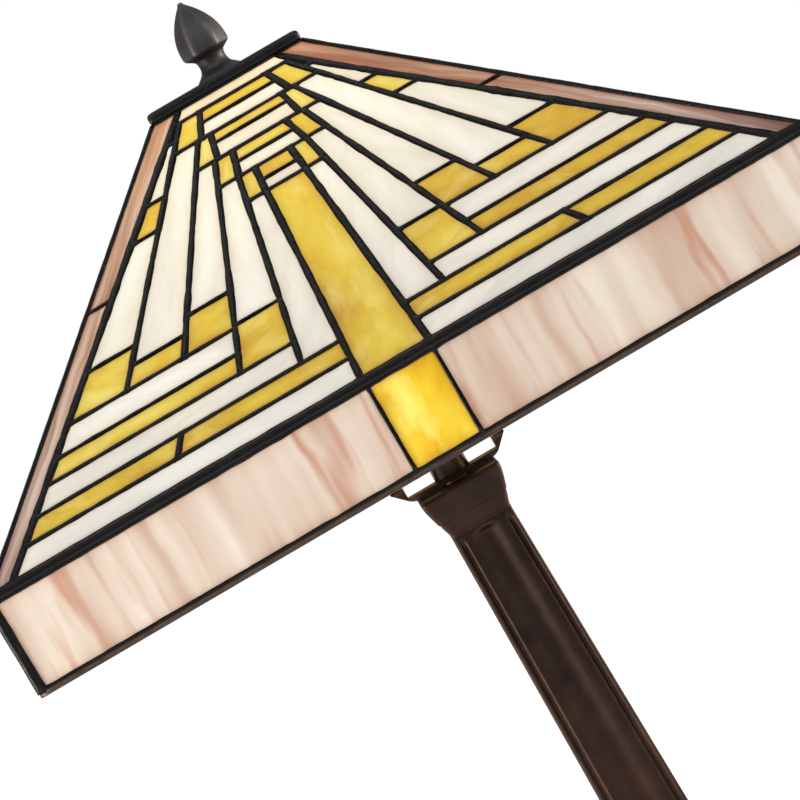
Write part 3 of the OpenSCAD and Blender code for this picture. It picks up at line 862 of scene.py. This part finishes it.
def cap_piece():
    """The cap: a square plate with softly rounded edges, hollow underneath, with a hole for the stud."""
    half, low, high = cap_high.x, cap_low.z, cap_high.z
    recess, ceiling, hole = 35 * MM, low + 3 * MM, 4.2 * MM
    path = rounded([(recess, ceiling), (recess, low), (half - 0.5 * MM, low), (half, low + 0.9 * MM),
                    (half, high - 1.7 * MM), (half - 0.8 * MM, high - 0.5 * MM), (half - 2.6 * MM, high),
                    (hole * 1.3, high)], 0.9 * MM, 1.4 * MM)
    mesh = square_loft("cap", [(p.x, p.y) for p in path], 2 * MM, across=40, bend=6, close=False)
    bm = bmesh.new()
    bm.from_mesh(mesh)
    loops = [e for e in bm.edges if e.is_boundary]
    bmesh.ops.bridge_loops(bm, edges=loops)
    bm.to_mesh(mesh)
    bm.free()
    mesh.shade_smooth()
    mark_wear_and_highlight(mesh)
    return finish_piece("cap", mesh, "gunmetal", "shade", "shade_cap")


cap_piece()


# ---------------------------------------------------------------- finial


def hexagon(flat, sides=6, per_side=8, softness=0.12):
    """A hexagon with a flat face to the front and slightly softened corners."""
    points = []
    for k in range(sides):
        for j in range(per_side):
            angle = -math.pi / 2 - math.pi / sides + (k + j / per_side) * 2 * math.pi / sides
            local = (j / per_side - 0.5) * 2 * math.pi / sides
            sharp = flat / math.cos(local)
            corner = abs(j / per_side - 0.5) * 2
            soft = sharp * (1 - softness * 0.25 * corner ** 10)
            points.append(Vector((soft * math.cos(angle), soft * math.sin(angle))))
    return points


def finial_piece():
    """An acorn with six ogive faces on a round waisted base."""
    low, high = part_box("finial")
    flat = high.x * math.cos(math.pi / 6)
    tip = high.z - low.z
    widest = 16.1 * MM
    skirt = rounded([(9.5 * MM, 0), (11.7 * MM, 0), (11.7 * MM, 0.9 * MM), (10.1 * MM, 2.2 * MM),
                     (7.9 * MM, 4 * MM), (7.1 * MM, 6.4 * MM), (7.1 * MM, 8.6 * MM), (7.7 * MM, 10.4 * MM)],
                    1.2 * MM, 0.7 * MM)
    belly = rounded([(7.7 * MM, 10.4 * MM), (8.9 * MM, 11.6 * MM), (flat - 0.5 * MM, 12.9 * MM),
                     (flat, 14.2 * MM), (flat, widest)], 0.8 * MM, 0.5 * MM)
    rise = tip - widest
    steps = 30
    ogive = [(flat * (1 - (k / steps) ** 2.1), widest + rise * k / steps) for k in range(1, steps - 1)]
    blunt = [(1.3 * MM, tip - 0.75 * MM), (0.8 * MM, tip - 0.25 * MM), (0.25 * MM, tip - 0.05 * MM)]
    profile = [(p.x, p.y, 0.0) for p in skirt]
    for p in belly[1:]:
        share = min(max((p.y - 10.4 * MM) / (2.4 * MM), 0), 1)
        profile.append((p.x, p.y, share))
    profile += [(r, z, 1.0) for r, z in ogive + blunt]
    points = []
    size = 48
    for radius, z, share in profile:
        for corner in hexagon(radius):
            round_point = corner.normalized() * radius
            place = round_point.lerp(corner, share)
            points.append((place.x, place.y, low.z + z))
    mesh = mesh_from("acorn", points, ring_faces(len(profile), size))
    mark_wear_and_highlight(mesh)
    return finish_piece("acorn", mesh, "gunmetal", "finial", "finial", finish="finial_grey")


finial_piece()


# ---------------------------------------------------------------- column, capital, foot


def bulge(u, centre, width, height):
    """A smooth rise of one height around a place on a face, zero outside its width."""
    t = abs(u - centre) / width
    return height * (0.5 + 0.5 * math.cos(math.pi * t)) if t < 1 else 0.0


def smooth_step(t):
    """Rises smoothly from 0 to 1 as t goes from 0 to 1."""
    t = min(max(t, 0), 1)
    return t * t * (3 - 2 * t)


def column_depth(u, z, top, low):
    """How far a column face is sunk at u = -1 to 1: coves beside the corners, ridges, and an arched flute."""
    side = abs(u)
    cove = bulge(side, 0.88, 0.14, 1.6 * MM)
    flute = bulge(side, 0, 0.62, 2.8 * MM)
    arch = 4 * MM * side ** 4 / 0.62 ** 4
    upper = smooth_step((top - 1.5 * MM - arch - z) / (3.5 * MM))
    lower = smooth_step((z - low - 14 * MM - arch) / (3 * MM))
    fade = smooth_step((top - 1.5 * MM - z) / (5 * MM))
    return cove * fade + flute * upper * lower


def column_piece():
    """The tapered column with coved corners and an arched flute on each face."""
    low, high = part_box("column")
    foot_half = high.x
    neck_half = 16.35 * MM
    rows = []
    z = low.z
    while z < high.z:
        near_end = min(z - low.z, high.z - z) < 26 * MM
        rows.append(z)
        z += (0.8 if near_end else 4) * MM
    rows.append(high.z)
    profile = []
    for z in rows:
        share = (z - low.z) / (high.z - low.z)
        profile.append((foot_half + (neck_half - foot_half) * share, z))
    mesh = square_loft("post", profile, 1.5 * MM, across=72, bend=6,
                       depth=lambda u, z: column_depth(u, z, high.z, low.z))
    mark_wear_and_highlight(mesh, 0.2)
    return finish_piece("post", mesh, "bronze", "base", "column")


def capital_piece():
    """The flared square head of the column."""
    low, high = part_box("capital")
    top = high.z
    outline = [(16.4 * MM, low.z), (16.5 * MM, top - 20.9 * MM), (17.3 * MM, top - 18.4 * MM),
               (18.1 * MM, top - 15.8 * MM), (18.3 * MM, top - 14.6 * MM), (19 * MM, top - 13.7 * MM),
               (20.4 * MM, top - 8.8 * MM), (21.5 * MM, top - 4.2 * MM), (high.x, top - 1.4 * MM),
               (21.2 * MM, top), (9 * MM, top)]
    path = rounded(outline, 1.1 * MM, 0.8 * MM)
    mesh = square_loft("head", [(p.x, p.y) for p in path], 2.2 * MM, across=24, bend=6)
    mark_wear_and_highlight(mesh, 0.4)
    return finish_piece("head", mesh, "bronze", "base", "capital")


def base_piece(name, node, outline, corner):
    path = rounded(outline, 1.4 * MM, 1.6 * MM)
    mesh = square_loft(name, [(p.x, p.y) for p in path], corner, across=30, bend=6)
    mark_wear_and_highlight(mesh, 1.2)
    return finish_piece(name, mesh, "bronze", "base", node)


column_piece()
capital_piece()
plinth_low, plinth_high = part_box("plinth")
foot_low, foot_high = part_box("foot")
base_piece("plinth_block", "plinth",
           [(46 * MM, plinth_low.z), (46 * MM, plinth_low.z + 3.5 * MM), (44 * MM, plinth_low.z + 5 * MM),
            (34 * MM, plinth_low.z + 5.6 * MM), (33 * MM, plinth_low.z + 6.5 * MM),
            (32.2 * MM, plinth_low.z + 9 * MM), (29.5 * MM, plinth_low.z + 11 * MM),
            (26 * MM, plinth_high.z), (12 * MM, plinth_high.z)], 2 * MM)
cove_points = [(46 * MM + 26 * MM * (1 - math.sin(a)), foot_high.z - 15 * MM * math.cos(a))
               for a in [math.radians(15 * k) for k in range(7)]]
base_piece("foot_casting", "foot",
           [(foot_high.x - 5 * MM, foot_low.z + 2 * MM), (foot_high.x - 5 * MM, foot_low.z),
            (foot_high.x, foot_low.z), (foot_high.x, 13 * MM),
            (foot_high.x - 2 * MM, 15 * MM), (foot_high.x - 10 * MM, 17 * MM)] + cove_points
           + [(20 * MM, foot_high.z)], 3 * MM)


# ---------------------------------------------------------------- parts that keep their CAD shape


def bevelled_copy(node, width, name, wear=1.0):
    """A copy of a CAD node with its sharp edges rounded, and lighter there as partly worn patina and partly
    painted highlight, which stands for it.
    """
    bm = bmesh.new()
    bm.from_mesh(nodes[node].data)
    bmesh.ops.remove_doubles(bm, verts=bm.verts, dist=1e-6)
    bmesh.ops.dissolve_limit(bm, angle_limit=0.01, verts=bm.verts, edges=bm.edges)
    sharp = [e for e in bm.edges if len(e.link_faces) == 2 and e.calc_face_angle(0) > 0.6]
    bmesh.ops.bevel(bm, geom=sharp, offset=width, segments=2, profile=0.5, affect="EDGES",
                    clamp_overlap=True)
    mesh = bpy.data.meshes.new(name)
    bm.to_mesh(mesh)
    bm.free()
    mesh.shade_smooth()
    mark_wear_and_highlight(mesh, wear)
    return finish_piece(name, mesh, SLOT_OF[node], BODY_OF[node], node)


def dress(obj, slot):
    """Gives a CAD node its finished material and leaves its shape alone."""
    obj.data.materials.clear()
    obj.data.materials.append(MATERIALS[slot])


bevelled_copy("harp_saddle", 0.7 * MM, "saddle")
bevelled_copy("socket_cap", 0.5 * MM, "socket_cup", 0.15)
bevelled_copy("switch_knob", 0.5 * MM, "knob")
bevelled_copy("harp_head", 0.8 * MM, "harp_block")
SHAPED = {"harp_saddle", "socket_cap", "switch_knob", "harp_head", "seam_solder", "shade_rim", "shade_cap",
          "finial", "column", "capital", "plinth", "foot", "crown_glass", "apron_amber"}
for node, obj in nodes.items():
    if node not in SHAPED and not node.startswith(("panel_", "apron_")):
        dress(obj, SLOT_OF[node])


# ---------------------------------------------------------------- studio


def area_light(name, place, target, size, power, colour=(1, 1, 1)):
    data = bpy.data.lights.new(name, "AREA")
    data.shape = "RECTANGLE"
    data.size, data.size_y = size
    data.energy = power
    data.color = colour
    light = bpy.data.objects.new(name, data)
    light.location = place
    light.rotation_euler = (Vector(target) - Vector(place)).to_track_quat("-Z", "Y").to_euler()
    bpy.context.scene.collection.objects.link(light)


def studio():
    middle = (0, 0, apron_top)
    post = (0, 0, 0.2)
    area_light("key", (-1.5, -1.5, 1.5), middle, (0.9, 1.2), 10)
    area_light("fill", (1.5, -1.5, 1.2), middle, (0.9, 1.2), 8)
    area_light("front_top", (0, -1.5, 1.8), middle, (2, 0.9), 10)
    area_light("post_left", (-1.1, -0.45, 0.14), post, (0.35, 0.6), 20, (1, 0.86, 0.74))
    area_light("post_right", (1.3, 0.05, 0.25), post, (0.6, 0.8), 34, (1, 0.88, 0.7))
    area_light("top", (0, 0.2, 2.2), middle, (1.4, 1.4), 8)
    world = bpy.data.worlds.new("studio")
    bpy.context.scene.world = world
    world.use_nodes = True
    tree = world.node_tree
    tree.nodes.clear()
    output = tree.nodes.new("ShaderNodeOutputWorld")
    seen = tree.nodes.new("ShaderNodeBackground")
    seen.inputs["Color"].default_value = (1, 1, 1, 1)
    lighting = tree.nodes.new("ShaderNodeBackground")
    lighting.inputs["Color"].default_value = (1, 1, 1, 1)
    lighting.inputs["Strength"].default_value = 0.3
    path = tree.nodes.new("ShaderNodeLightPath")
    mix = tree.nodes.new("ShaderNodeMixShader")
    tree.links.new(path.outputs["Is Camera Ray"], mix.inputs[0])
    tree.links.new(lighting.outputs[0], mix.inputs[1])
    tree.links.new(seen.outputs[0], mix.inputs[2])
    tree.links.new(mix.outputs[0], output.inputs[0])
    bpy.context.scene.view_settings.view_transform = "Standard"
    bpy.context.scene.view_settings.look = "None"

    floor = Tree("floor")
    shade = floor.noise(floor.position(), 3, detail=2)
    floor.set(Base_Color=floor.ramp(shade, [(0.3, srgb(246, 246, 246)), (0.7, srgb(250, 250, 250))]))
    floor.set(Roughness=0.9, Emission_Color=(1.0, 1.0, 1.0), Emission_Strength=0.72)
    mesh = mesh_from("floor", [(-6, -6, 0), (6, -6, 0), (6, 6, 0), (-6, 6, 0)], [(0, 1, 2, 3)], False)
    mesh.materials.append(floor.material)
    ground = bpy.data.objects.new("floor", mesh)
    ground.location.z = cad_bounds[0][2] - 0.1 * MM
    bpy.context.scene.collection.objects.link(ground)


studio()
